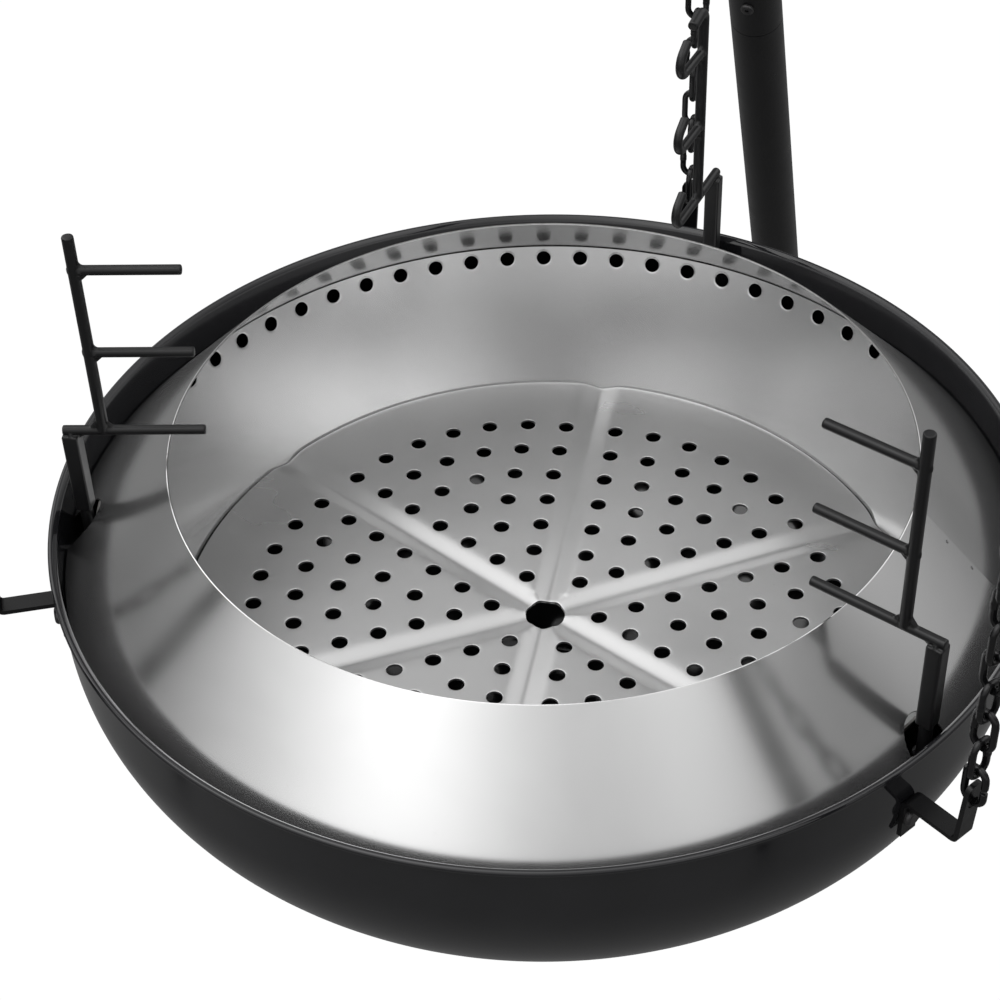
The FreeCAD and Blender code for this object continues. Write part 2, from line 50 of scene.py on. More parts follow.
# ------------------------------------------------------------------ sizes, mm from the bowl axis and the grate plane
OPEN_R, OPEN_Z, COVER_R, COVER_K, SHEET = 223.2, 145.8, 294.0, 51.7 / 50.9, 1.2
SEAM_AZ = 0.6
NOTCHES = [(287.0, 199.2, 15.0), (287.0, -24.4, 14.5), (287.0, 84.0, 14.5)]
WALL_R0, WALL_Z0, WALL_R1, WALL_Z1, LIP_R = 233.82, -4.6, 273.6, 92.0, 222.0
AIR_N, AIR_D, AIR_Z, AIR_PH = 66, 9.8, 84.5, 162.86
GRATE_R, GRATE_T, RIB_AZ, RIB_HALF, RIB_DEPTH, DISH = 234.0, 2.0, 38.28, 11.0, 3.4, 0.0183
HOLE_D, CENTRE_D, U = 10.4, 25.4, 186.114
LATTICE = [(0, .1878), (.0689, .3058), (.1372, .4240), (0, .4606), (.2047, .5427), (.0709, .5918),
           (.2727, .6619), (.1418, .7173), (0, .7354), (.3401, .7808), (.2113, .8404), (.0726, .8706),
           (.4113, .9001), (.2810, .9642), (.1410, 1.0027), (0, 1.0156)]
BOWL_A, BOWL_B, BOWL_ZC, BOWL_T, BASE_R = 296.5, 182.6, 66.0, 2.0, 75.0
RIM_R, BEAD_R, RIM_Z = 300.0, 2.0, 102.5
HOLDERS = [
    ("left", 280.3, 199.6, 17.7, -8.0, 19.7, (157.0, 214.7, 272.3), 295.2, (80.9, 81.1, 80.8), False),
    ("right", 283.6, -24.4, 160.8, 0.0, 20.3, (159.0, 210.5, 268.3), 290.0, (78.5, 80.4, 79.3), False),
    ("rear", 284.7, 84.0, 264.0, 2.0, 31.8, (159.0, 215.5, 270.5), 298.0, (62.8, 62.8, 62.8), True)]
CHAIN_R, WIRE_D, LINK_IN, LINK_W, LINK_N = 336.5, 4.2, 21.0, 8.2, 18
INT_TOP, LINK_STEP = 979.5 - GZ, 20.7
LEGS = [("rear", 90.0), ("right", -30.0), ("left", 210.0)]


# ------------------------------------------------------------------ node materials
class Mat:
    def __init__(self, name, base, metallic, rough, ior=1.5):
        self.m = bpy.data.materials.new(name)
        self.m.use_nodes = True
        self.t = self.m.node_tree
        self.b = self.t.nodes["Principled BSDF"]
        self.b.inputs["Base Color"].default_value = (*base, 1)
        self.b.inputs["Metallic"].default_value = metallic
        self.b.inputs["Roughness"].default_value = rough
        self.b.inputs["IOR"].default_value = ior
        self.co = self.t.nodes.new("ShaderNodeTexCoord").outputs["Object"]
        self.norm = None

    def n(self, kind):
        return self.t.nodes.new(kind)

    def ln(self, a, b):
        self.t.links.new(a, b)

    def scaled(self, sx, sy, sz, src=None):
        k = self.n("ShaderNodeMapping")
        k.inputs["Scale"].default_value = (sx, sy, sz)
        self.ln(src or self.co, k.inputs["Vector"])
        return k.outputs["Vector"]

    def noise(self, scale, detail=3.0, rough=0.5, vec=None, warp=0.0):
        k = self.n("ShaderNodeTexNoise")
        k.inputs["Scale"].default_value = scale
        k.inputs["Detail"].default_value = detail
        k.inputs["Roughness"].default_value = rough
        k.inputs["Distortion"].default_value = warp
        self.ln(vec or self.co, k.inputs["Vector"])
        return k.outputs["Fac"]

    def voronoi(self, scale, vec=None, feature="F1"):
        k = self.n("ShaderNodeTexVoronoi")
        k.feature = feature
        k.inputs["Scale"].default_value = scale
        self.ln(vec or self.co, k.inputs["Vector"])
        return k.outputs["Distance"]

    def ramp(self, fac, stops):
        k = self.n("ShaderNodeValToRGB")
        e = k.color_ramp.elements
        while len(e) < len(stops):
            e.new(0.5)
        for el, (p, c) in zip(e, stops):
            el.position = p
            el.color = (*c, 1) if isinstance(c, tuple) else (c, c, c, 1)
        self.ln(fac, k.inputs["Fac"])
        return k.outputs["Color"]

    def span(self, fac, a0, a1, b0, b1):
        k = self.n("ShaderNodeMapRange")
        for i, v in zip((1, 2, 3, 4), (a0, a1, b0, b1)):
            k.inputs[i].default_value = v
        self.ln(fac, k.inputs[0])
        return k.outputs[0]

    def math(self, op, a, b):
        k = self.n("ShaderNodeMath")
        k.operation = op
        for i, v in ((0, a), (1, b)):
            if isinstance(v, (int, float)):
                k.inputs[i].default_value = v
            else:
                self.ln(v, k.inputs[i])
        return k.outputs[0]

    def mix(self, fac, a, b, mode="MIX"):
        k = self.n("ShaderNodeMix")
        k.data_type = "RGBA"
        k.blend_type = mode
        for s, v in ((k.inputs[0], fac), (k.inputs[6], a), (k.inputs[7], b)):
            if isinstance(v, (int, float)):
                s.default_value = v
            elif isinstance(v, tuple):
                s.default_value = (*v, 1)
            else:
                self.ln(v, s)
        return k.outputs[2]

    def color(self, c):
        self.ln(c, self.b.inputs["Base Color"])

    def rough(self, f):
        self.ln(f, self.b.inputs["Roughness"])

    def bump(self, height, strength, dist):
        k = self.n("ShaderNodeBump")
        k.inputs["Strength"].default_value = strength
        k.inputs["Distance"].default_value = dist
        self.ln(height, k.inputs["Height"])
        if self.norm:
            self.ln(self.norm, k.inputs["Normal"])
        self.norm = k.outputs["Normal"]
        self.ln(self.norm, self.b.inputs["Normal"])


def stainless(name, base, r0, r1, wave, lines, haze=0.28):
    """Brushed sheet: a fairly clear reflection under a wide satin haze."""
    m = Mat(name, (base, base, base), 1.0, (r0 + r1) / 2)
    cloud = m.noise(9, 4, 0.55, warp=0.4)
    smear = m.noise(3.2, 3, 0.5, vec=m.scaled(1, 3.5, 1), warp=0.8)
    c = m.ramp(cloud, [(0.25, base * 0.95), (0.75, min(1.0, base * 1.04))])
    spots = m.voronoi(95)
    c = m.mix(m.span(spots, 0.0, 0.09, 0.35, 0.0), c, (base * 0.8, base * 0.79, base * 0.77))
    m.color(c)
    fine = m.noise(900, 2, 0.5, vec=m.scaled(1, 0.02, 0.02))
    f = m.math("ADD", m.span(smear, 0.3, 0.7, r0, r1), m.span(cloud, 0.35, 0.7, 0.0, 0.03))
    m.rough(f)
    m.bump(m.noise(11, 2, 0.4), wave, 0.0006)
    m.bump(fine, lines, 0.00002)
    soft = m.n("ShaderNodeBsdfPrincipled")
    soft.inputs["Metallic"].default_value = 1.0
    soft.inputs["Roughness"].default_value = 0.58
    m.ln(c, soft.inputs["Base Color"])
    m.ln(m.norm, soft.inputs["Normal"])
    mx = m.n("ShaderNodeMixShader")
    mx.inputs[0].default_value = haze
    m.ln(m.b.outputs[0], mx.inputs[1])
    m.ln(soft.outputs[0], mx.inputs[2])
    m.ln(mx.outputs[0], m.t.nodes["Material Output"].inputs["Surface"])
    return m


def coat(name, base, r0, r1, grain, gdist, dust=0.5, ior=1.5):
    """Paint or powder on steel: colour drift, worn sheen, fine orange peel, dust specks."""
    m = Mat(name, base, 0.0, (r0 + r1) / 2, ior)
    big = m.noise(35, 4, 0.6)
    c = m.ramp(big, [(0.3, tuple(v * 0.82 for v in base)), (0.7, tuple(min(1, v * 1.22) for v in base))])
    sp = m.voronoi(420)
    c = m.mix(m.span(sp, 0.0, 0.16, dust, 0.0), c, tuple(min(1, v * 2.3 + 0.006) for v in base))
    m.color(c)
    m.rough(m.span(m.noise(60, 3, 0.6), 0.3, 0.7, r0, r1))
    m.bump(m.noise(grain, 2, 0.5), 0.35, gdist)
    return m


M = {}
M["stainless"] = stainless("stainless", 0.645, 0.155, 0.21, 0.05, 0.03, 0.07)
M["wall_steel"] = stainless("wall_steel", 0.665, 0.17, 0.23, 0.03, 0.10, 0.17)
M["grate_steel"] = stainless("grate_steel", 0.62, 0.26, 0.33, 0.05, 0.15, 0.25)
en = Mat("enamel", (0.010, 0.010, 0.0115), 0.0, 0.06, 1.52)
en.color(en.ramp(en.noise(18, 4, 0.6), [(0.3, (0.0085, 0.0085, 0.0095)), (0.7, (0.0125, 0.0125, 0.014))]))
en.rough(en.span(en.noise(24, 3, 0.6), 0.3, 0.7, 0.035, 0.085))
en.bump(en.noise(85, 2, 0.4), 0.04, 0.0003)
en.bump(en.noise(900, 1, 0.4), 0.012, 0.00003)
M["enamel"] = en
M["stand_coat"] = coat("stand_coat", (0.0070, 0.0070, 0.0076), 0.27, 0.36, 1500, 0.00004, 0.2, 1.42)
M["bracket_coat"] = coat("bracket_coat", (0.0040, 0.0040, 0.0044), 0.26, 0.36, 1300, 0.00004, 0.2, 1.34)
M["holder_coat"] = coat("holder_coat", (0.0065, 0.0065, 0.0070), 0.28, 0.38, 1800, 0.00005, 0.2, 1.42)
M["chain_coat"] = coat("chain_coat", (0.0045, 0.0045, 0.0050), 0.15, 0.24, 900, 0.00005, 0.2, 1.42)
fx = Mat("fixings", (0.05, 0.05, 0.055), 0.7, 0.34)
fx.color(fx.ramp(fx.noise(300, 3, 0.6), [(0.3, (0.035, 0.035, 0.040)), (0.7, (0.075, 0.073, 0.072))]))
fx.rough(fx.span(fx.noise(500, 3, 0.6), 0.3, 0.7, 0.28, 0.42))
fx.bump(fx.noise(2500, 2, 0.5), 0.25, 0.00003)
M["fixings"] = fx
rb = Mat("rubber_boot", (0.020, 0.020, 0.020), 0.0, 0.72)
rb.color(rb.ramp(rb.noise(60, 5, 0.65), [(0.3, (0.016, 0.016, 0.016)), (0.72, (0.034, 0.033, 0.031))]))
rb.rough(rb.span(rb.noise(200, 3, 0.6), 0.3, 0.7, 0.62, 0.82))
rb.bump(rb.noise(1600, 3, 0.6), 0.4, 0.00008)
M["rubber_boot"] = rb
ce = Mat("cut_edge", (0.11, 0.105, 0.10), 0.8, 0.5)
ce.color(ce.ramp(ce.noise(400, 3, 0.6), [(0.3, (0.07, 0.066, 0.062)), (0.7, (0.15, 0.145, 0.14))]))
ce.rough(ce.span(ce.noise(700, 3, 0.6), 0.3, 0.7, 0.42, 0.6))
ce.bump(ce.noise(2200, 2, 0.5), 0.3, 0.00003)
M["cut_edge"] = ce
se = Mat("sheared_edge", (0.34, 0.34, 0.335), 1.0, 0.45)
se.color(se.ramp(se.noise(500, 3, 0.6), [(0.3, (0.15, 0.15, 0.148)), (0.7, (0.26, 0.26, 0.255))]))
se.rough(se.span(se.noise(900, 3, 0.6), 0.3, 0.7, 0.38, 0.52))
se.bump(se.noise(2600, 2, 0.5), 0.25, 0.00003)
M["sheared_edge"] = se


# ------------------------------------------------------------------ mesh tools (mm in, metres out)
def make(name, verts, faces, mat, body, nodes=(), sharp=35.0, normals=None, recalc=True):
    v = np.array(verts, float)
    v[:, 1] += AXIS_Y
    v[:, 2] += GZ
    v /= 1000.0
    me = bpy.data.meshes.new(name)
    me.from_pydata(v.tolist(), [], [tuple(int(i) for i in f) for f in faces])
    if recalc:
        bm = bmesh.new()
        bm.from_mesh(me)
        bmesh.ops.recalc_face_normals(bm, faces=bm.faces)
        bm.to_mesh(me)
        bm.free()
    me.update()
    me.polygons.foreach_set("use_smooth", [True] * len(me.polygons))
    if sharp:
        me.set_sharp_from_angle(angle=rad(sharp))
    if normals is not None:
        me.normals_split_custom_set_from_vertices([tuple(x) for x in normals])
    me.materials.append(M[mat].m)
    o = bpy.data.objects.new(name, me)
    SC.collection.objects.link(o)
    if nodes:
        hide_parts(*nodes)
    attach(o, body)
    return o


def lathe(prof, n, closed=False):
    verts, faces, idx = [], [], []
    a = np.linspace(0, 2 * math.pi, n, endpoint=False)
    ca, sa = np.cos(a), np.sin(a)
    for r, z in prof:
        if r < 1e-9:
            idx.append([len(verts)])
            verts.append((0, 0, z))
        else:
            idx.append(list(range(len(verts), len(verts) + n)))
            verts += [(r * c, r * s, z) for c, s in zip(ca, sa)]
    m = len(prof)
    for i in range(m if closed else m - 1):
        A, B = idx[i], idx[(i + 1) % m]
        for k in range(n):
            q = (k + 1) % n
            if len(A) == 1:
                faces.append((A[0], B[k], B[q]))
            elif len(B) == 1:
                faces.append((A[k], A[q], B[0]))
            else:
                faces.append((A[k], A[q], B[q], B[k]))
    return verts, faces


def sweep(path, r, n=14, closed=False, cap=0.6):
    """Round bar along a path of points; r may be a list. Open ends are rounded over by cap."""
    P = [Vector(p) for p in path]
    R = list(r) if hasattr(r, "__len__") else [r] * len(P)
    if not closed:
        d0 = (P[1] - P[0]).normalized()
        d1 = (P[-1] - P[-2]).normalized()
        r0, r1 = R[0], R[-1]
        head, hr, tail, tr = [], [], [], []
        for t in (8, 30, 55, 80):
            x = 1 - math.cos(rad(t))
            y = cap * (1 - math.sin(rad(t)))
            head.append(P[0] + d0 * cap * x)
            hr.append(r0 - y)
            tail.append(P[-1] - d1 * cap * x)
            tr.append(r1 - y)
        P = head + [P[0] + d0 * cap] + P[1:-1] + [P[-1] - d1 * cap] + tail[::-1]
        R = hr + [r0] + R[1:-1] + [r1] + tr[::-1]
    m = len(P)
    T = []
    for i in range(m):
        if closed:
            t = P[(i + 1) % m] - P[i - 1]
        else:
            t = P[min(i + 1, m - 1)] - P[max(i - 1, 0)]
        T.append(t.normalized())
    ref = Vector((0, 0, 1)) if abs(T[0].z) < 0.9 else Vector((1, 0, 0))
    N = [(ref - T[0] * ref.dot(T[0])).normalized()]
    for i in range(1, m):
        ax = T[i - 1].cross(T[i])
        v = N[-1]
        if ax.length > 1e-9:
            v = Matrix.Rotation(T[i - 1].angle(T[i]), 3, ax.normalized()) @ v
        N.append((v - T[i] * v.dot(T[i])).normalized())
    verts, faces = [], []
    for i in range(m):
        b = T[i].cross(N[i])
        for k in range(n):
            a = 2 * math.pi * k / n
            verts.append(tuple(P[i] + (N[i] * math.cos(a) + b * math.sin(a)) * R[i]))
    for i in range(m if closed else m - 1):
        j = (i + 1) % m
        for k in range(n):
            q = (k + 1) % n
            faces.append((i * n + k, i * n + q, j * n + q, j * n + k))
    if not closed:
        faces.append(tuple(range(n))[::-1])
        faces.append(tuple(range((m - 1) * n, m * n)))
    return verts, faces


def join(parts):
    verts, faces = [], []
    for v, f in parts:
        o = len(verts)
        verts += [tuple(x) for x in v]
        faces += [tuple(i + o for i in x) for x in f]
    return verts, faces


def placed(part, ang, c):
    v, f = part
    ca, sa = math.cos(rad(ang)), math.sin(rad(ang))
    return [(x * ca - y * sa + c[0], x * sa + y * ca + c[1], z + c[2]) for x, y, z in v], f


# ------------------------------------------------------------------ fire bowl: one skin with a rolled bead
def bowl_z(r, t=0.0):
    return BOWL_ZC - (BOWL_B - t) * math.sqrt(max(0.0, 1 - (r / (BOWL_A - t)) ** 2))


prof = []
z_in0 = bowl_z(BASE_R, BOWL_T)
for r in (0.0, 20, 40, 60, 70):
    prof.append((r, z_in0))
for i in range(46):                                   # inside, bottom to the straight wall
    t = -math.acos(BASE_R / (BOWL_A - BOWL_T)) * (1 - i / 45.0)
    prof.append(((BOWL_A - BOWL_T) * math.cos(t), BOWL_ZC + (BOWL_B - BOWL_T) * math.sin(t)))
zb, xb = RIM_Z - BEAD_R, RIM_R - BEAD_R
prof += [(294.5, 74.0), (294.5, 84.0), (294.5, 92.0), (294.5, RIM_Z - 3.7), (294.58, RIM_Z - 3.15), (294.78, RIM_Z - 2.68), (295.5, RIM_Z - 1.84)]
for a in (139, 124, 108, 90, 72, 54, 36, 18, 0, -18, -36, -54, -72, -90, -106, -120):
    q = BEAD_R
    prof.append((xb + q * math.cos(rad(a)), zb + q * math.sin(rad(a))))
prof += [(296.66, RIM_Z - 3.55), (296.52, RIM_Z - 4.0), (296.5, RIM_Z - 4.6), (296.5, 92.0), (296.5, 86.0), (296.5, 76.0)]
for i in range(46):                                   # outside, down to the base
    t = -math.acos(BASE_R / BOWL_A) * i / 45.0
    prof.append((BOWL_A * math.cos(t), BOWL_ZC + BOWL_B * math.sin(t)))
z_o = bowl_z(BASE_R)
for r in (70, 60, 40, 20, 0.0):
    prof.append((r, z_o))
v, f = lathe(prof, 360)
make("bowl_skin", v, f, "enamel", "bowl", ["fire_bowl"], sharp=38)


# ------------------------------------------------------------------ cover ring: a cone of sheet, lapped at the seam, notched for the posts
def cover_edge(az):
    """Lower edge radius at an azimuth, and whether it lies in a notch."""
    for rn, an, q in NOTCHES:
        d = rad((az - an + 180) % 360 - 180)
        s = rn * abs(math.sin(d))
        if abs(d) < 0.2 and s < q:
            return rn * math.cos(d) - math.sqrt(q * q - s * s), True
    return COVER_R, False


def lap(az):
    """Height of the upper sheet over the lower one near the seam."""
    d = (az - SEAM_AZ + 180) % 360 - 180
    if d <= 0:
        return 1.15 * max(0.0, 1 - (-d / 13.0)) ** 2
    return 0.0


azs = list(np.arange(0, 360, 1.0))
for rn, an, q in NOTCHES:
    w = math.degrees(math.asin(q / rn))
    azs = [a for a in azs if abs((a - an + 180) % 360 - 180) > w + 0.3]
    azs += [an + w * s for s in np.sin(np.linspace(-math.pi / 2, math.pi / 2, 33))]
    azs += [an - w * 1.004, an + w * 1.004]
azs = [a for a in azs if abs((a - SEAM_AZ + 180) % 360 - 180) > 0.6] + [SEAM_AZ - 0.35, SEAM_AZ - 0.02, SEAM_AZ, SEAM_AZ + 0.03, SEAM_AZ + 0.35]
azs = sorted(a % 360 for a in azs)
nrm = Vector((COVER_K, 1)).normalized()              # across the sheet, outwards and up
rows = [0.0, 0.005, 0.15, 0.3, 0.5, 0.7, 0.85, 0.94, 0.995, 1.0]
verts, faces = [], []
NA = len(azs)
for side in (0, 1):
    for t in rows:
        for a in azs:
            re_, cut = cover_edge(a)
            r = OPEN_R + (re_ - OPEN_R) * t
            z = OPEN_Z - (r - OPEN_R) * COVER_K
            off = lap(a) - side * SHEET
            if t in (0.0, 1.0):
                off += (-0.25 if side == 0 else 0.25)
                r += 0.0
            rr, zz = r + nrm[0] * off, z + nrm[1] * off
            verts.append((rr * math.cos(rad(a)), rr * math.sin(rad(a)), zz))
NR = len(rows)
for side in (0, 1):
    for i in range(NR - 1):
        for k in range(NA):
            q = (k + 1) % NA
            o = side * NR * NA
            faces.append((o + i * NA + k, o + i * NA + q, o + (i + 1) * NA + q, o + (i + 1) * NA + k))
for i in (0, NR - 1):
    for k in range(NA):
        q = (k + 1) % NA
        a, b = i * NA, (NR + i) * NA
        faces.append((a + k, a + q, b + q, b + k))
cover = make("cover_cone", verts, faces, "stainless", "insert", ["cover_ring"], sharp=24)
cover.data.materials.append(M["cut_edge"].m)         # the notches keep their dark cut edge
cover.data.materials.append(M["sheared_edge"].m)     # and the opening its sheared one
for k in range(NA):
    cover.data.polygons[(2 * NR - 2) * NA + k].material_index = 2
    if cover_edge(azs[k])[1] or cover_edge(azs[(k + 1) % NA])[1]:
        cover.data.polygons[(2 * NR - 1) * NA + k].material_index = 1

# spot welds beside the seam
dots = []
for rr, off in ((228.5, 3.2), (244.0, 3.4), (260.0, 3.2), (276.0, 3.5), (289.0, 3.3)):
    az = SEAM_AZ - math.degrees(off / rr)
    h = lap(az)
    z = OPEN_Z - (rr - OPEN_R) * COVER_K
    c = Vector(((rr + nrm[0] * h) * math.cos(rad(az)), (rr + nrm[0] * h) * math.sin(rad(az)), z + nrm[1] * h))
    n3 = Vector((nrm[0] * math.cos(rad(az)), nrm[0] * math.sin(rad(az)), nrm[1]))
    t1 = n3.cross(Vector((0, 0, 1))).normalized()
    t2 = n3.cross(t1)
    vs, fs = [], []
    for q, hh in ((1.15, -0.05), (0.95, 0.03), (0.7, 0.05), (0.45, -0.02), (0.2, -0.06)):
        for k in range(16):
            g = 2 * math.pi * k / 16
            vs.append(tuple(c + (t1 * math.cos(g) + t2 * math.sin(g)) * q + n3 * hh))
    for i in range(4):
        for k in range(16):
            fs.append((i * 16 + k, i * 16 + (k + 1) % 16, (i + 1) * 16 + (k + 1) % 16, (i + 1) * 16 + k))
    fs.append(tuple(range(64, 80)))
    vs.append(tuple(c - n3 * 0.4))
    fs += [(k, (k + 1) % 16, 80) for k in range(16)]
    dots.append((vs, fs))
v, f = join(dots)
make("seam_spot_welds", v, f, "fixings", "insert", sharp=60)

# ------------------------------------------------------------------ fire wall: conical sheet with a row of pierced air holes
sl = (WALL_R1 - WALL_R0) / (WALL_Z1 - WALL_Z0)
hyp = math.hypot(1, sl)
gs, gr = 1 / hyp, sl / hyp                           # rise and run per mm along the sheet
S_TOP = (WALL_Z1 - WALL_Z0) / gs
S_H = (AIR_Z - WALL_Z0) / gs
NU, NV = 8, 6
S_LOW = S_H - 11.5
verts, faces = [], []


def wall_pt(s, az, depth):
    r = WALL_R0 + s * gr + depth * gs
    z = WALL_Z0 + s * gs - depth * gr
    return (r * math.cos(az), r * math.sin(az), z)


def wall_side(depth):
    """Inner or outer skin; returns the indexes of hole rims, the top edge and the bottom edge."""
    col = AIR_N * NU
    cell = 2 * math.pi / AIR_N
    a0 = rad(AIR_PH) - cell / 2
    base = len(verts)
    svals = [0.0, 1.0, 12, 28, 46, 62, 76, S_LOW]
    grid = {}
    for i, s in enumerate(svals):
        for k in range(col):
            grid[(i, k)] = len(verts)
            verts.append(wall_pt(s, a0 + cell * k / NU, depth))
    for i in range(len(svals) - 1):
        for k in range(col):
            q = (k + 1) % col
            faces.append((grid[(i, k)], grid[(i, q)], grid[(i + 1, q)], grid[(i + 1, k)]))
    top = {}
    vert_line = {}
    il = len(svals) - 1
    for k in range(col):
        top[k] = len(verts)
        verts.append(wall_pt(S_TOP, a0 + cell * k / NU, depth))
    for c in range(AIR_N):
        for j in range(1, NV):
            vert_line[(c, j)] = len(verts)
            verts.append(wall_pt(S_LOW + (S_TOP - S_LOW) * j / NV, a0 + cell * c, depth))
    rims = []
    for c in range(AIR_N):
        k0 = c * NU
        c2 = (c + 1) % AIR_N
        loop = [grid[(il, (k0 + u) % col)] for u in range(NU)]
        uv = [(-0.5 + u / NU, 0.0) for u in range(NU)]
        loop += [grid[(il, (k0 + NU) % col)]] + [vert_line[(c2, j)] for j in range(1, NV)]
        uv += [(0.5, j / NV) for j in range(NV)]
        loop += [top[(k0 + u) % col] for u in range(NU, 0, -1)]
        uv += [(-0.5 + u / NU, 1.0) for u in range(NU, 0, -1)]
        loop += [top[k0]] + [vert_line[(c, j)] for j in range(NV - 1, 0, -1)]
        uv += [(-0.5, j / NV) for j in range(NV, 0, -1)]
        azc = a0 + cell * (c + 0.5)
        Rh = WALL_R0 + S_H * gr
        rings = []
        angs = []
        for a, b in uv:
            angs.append(math.atan2(S_LOW + (S_TOP - S_LOW) * b - S_H, a * cell * Rh))
        for q, dd in ((AIR_D / 2 + 1.5, 0.0), (AIR_D / 2 + 0.35, 0.0), (AIR_D / 2 + 0.08, 0.12), (AIR_D / 2, 0.4)):
            ring = []
            d2 = depth + (dd if depth == 0 else -dd)
            for g in angs:
                ring.append(len(verts))
                verts.append(wall_pt(S_H + q * math.sin(g), azc + q * math.cos(g) / Rh, d2))
            rings.append(ring)
        allr = [loop] + rings
        L = len(loop)
        for i in range(len(allr) - 1):
            for k in range(L):
                q = (k + 1) % L
                faces.append((allr[i][k], allr[i][q], allr[i + 1][q], allr[i + 1][k]))
        rims.append(rings[-1])
    return rims, top, {k: grid[(0, k)] for k in range(col)}


ri, ti, bi = wall_side(0.0)
n_in = len(faces)
ro, to, bo = wall_side(SHEET)
n_out = len(faces)
for A, B in zip(ri, ro):
    for k in range(len(A)):
        q = (k + 1) % len(A)
        faces.append((A[k], A[q], B[q], B[k]))
col = AIR_N * NU
n_top = len(faces)
for k in range(col):
    q = (k + 1) % col
    faces.append((ti[k], ti[q], to[q], to[k]))
n_end = len(faces)
lip_top = {}
lip_bot = {}
corner = {}
for k in range(col):
    a = math.atan2(verts[bi[k]][1], verts[bi[k]][0])
    lip_top[k] = len(verts)
    verts.append((LIP_R * math.cos(a), LIP_R * math.sin(a), WALL_Z0))
    lip_bot[k] = len(verts)
    verts.append((LIP_R * math.cos(a), LIP_R * math.sin(a), WALL_Z0 - SHEET))
    corner[k] = len(verts)
    verts.append(((WALL_R0 + 0.4) * math.cos(a), (WALL_R0 + 0.4) * math.sin(a), WALL_Z0 - SHEET))
for k in range(col):
    q = (k + 1) % col
    faces.append((bi[k], bi[q], lip_top[q], lip_top[k]))
    faces.append((lip_top[k], lip_top[q], lip_bot[q], lip_bot[k]))
    faces.append((lip_bot[k], lip_bot[q], corner[q], corner[k]))
    faces.append((corner[k], corner[q], bo[q], bo[k]))
wall = make("fire_wall_sheet", verts, faces, "stainless", "insert", ["fire_wall"], sharp=28)
wall.data.materials[0] = M["wall_steel"].m
wall.data.materials.append(M["cut_edge"].m)          # the outer face, shut in the gap under the cover, and the top edge take the dark cut-edge finish
for k in list(range(n_in, n_out)) + list(range(n_top, n_end)):
    wall.data.polygons[k].material_index = 1


# ------------------------------------------------------------------ grate: dished disc with six pressed creases and pierced holes
def grate_z(x, y):
    r = math.hypot(x, y)
    best = None
    for k in range(6):
        ca = rad(RIB_AZ + 30 + 60 * k)
        q = x * math.cos(ca) + y * math.sin(ca)
        if best is None or q > best[0]:
            best = (q, ca)
    q, ca = best
    dl = abs(math.atan2(-x * math.sin(ca) + y * math.cos(ca), q)) if r > 1e-9 else 0.0
    h6 = rad(30)
    d = r * math.sin(max(0.0, h6 - dl))
    along = r * math.cos(h6 - dl)
    ds = math.sqrt(d * d + 1.5 ** 2) - 1.5
    w = 1.5
    x_ = (RIB_HALF - ds) / w
    sp = w * (x_ + math.log1p(math.exp(-x_)) if x_ > 0 else math.log1p(math.exp(x_)))
    qe = along * math.cos(h6) + max(d, RIB_HALF) * math.sin(h6)
    return DISH * (qe - 131.0) - RIB_DEPTH / RIB_HALF * sp


holes = []
for s in range(6):
    ca = rad(RIB_AZ + 30 + 60 * s)
    for X, Y in LATTICE:
        for m_ in ((1, -1) if X > 0 else (1,)):
            x, y = m_ * X * U, Y * U
            holes.append((y * math.cos(ca) - x * math.sin(ca), y * math.sin(ca) + x * math.cos(ca), HOLE_D / 2))
holes.append((0.0, 0.0, CENTRE_D / 2))
pts, drop, edges = [], [], []


def add_ring(cx, cy, q, n, dz, phase=0.0):
    i0 = len(pts)
    for k in range(n):
        a = 2 * math.pi * k / n + phase
        pts.append((cx + q * math.cos(a), cy + q * math.sin(a)))
        drop.append(dz)
    return i0


bore_rings = []
for hx, hy, hr in holes:
    n = 28 if hr < 10 else 56
    for q, dz in ((hr + 2.2, 0.0), (hr + 0.40, -0.02), (hr + 0.20, -0.06), (hr + 0.07, -0.16)):
        add_ring(hx, hy, q, n, dz)
    i0 = add_ring(hx, hy, hr, n, -0.36)
    bore_rings.append((i0, n))
NO = 480
for q, dz in ((GRATE_R - 3.0, 0.0), (GRATE_R - 0.7, -0.04), (GRATE_R - 0.2, -0.2)):
    add_ring(0, 0, q, NO, dz)
outer0 = add_ring(0, 0, GRATE_R, NO, -0.5)


def clear(x, y, gap):
    if math.hypot(x, y) > GRATE_R - 3.0 - gap:
        return False
    for hx, hy, hr in holes:
        if (x - hx) ** 2 + (y - hy) ** 2 < (hr + 2.2 + gap) ** 2:
            return False
    return True


for k in range(6):
    a = rad(RIB_AZ + 60 * k)
    ca, sa = math.cos(a), math.sin(a)
    for side in (0, 1.1, 2.4, 5.0, 8.2, 9.6, 11.0, 12.4, 14.5):
        step = 3.4
        for i in range(int(232 / step)):
            al = 14.0 + i * step
            for sg in ((1, -1) if side else (1,)):
                x, y = al * ca - sg * side * sa, al * sa + sg * side * ca
                # stay on this crease's own side of the sector lines
                if abs(math.degrees(math.atan2(sg * side, al))) < 30 and clear(x, y, 0.7):
                    pts.append((x, y))
                    drop.append(0.0)
for ix in range(-24, 25):
    for iy in range(-24, 25):
        x, y = ix * 9.7 + (iy % 2) * 4.85, iy * 9.7
        if not clear(x, y, 2.5):
            continue
        az = math.degrees(math.atan2(y, x))
        d6 = ((az - RIB_AZ + 30) % 60) - 30
        if math.hypot(x, y) * abs(math.sin(rad(d6))) < 17:
            continue
        pts.append((x, y))
        drop.append(0.0)
res = delaunay_2d_cdt([Vector(p) for p in pts], [], [], 0, 1e-4, True)
vo, fo, orig = res[0], res[2], res[3]
src = [o[0] for o in orig]
P2 = np.array([tuple(p) for p in vo])
keep = []
hx = np.array([h[:2] for h in holes])
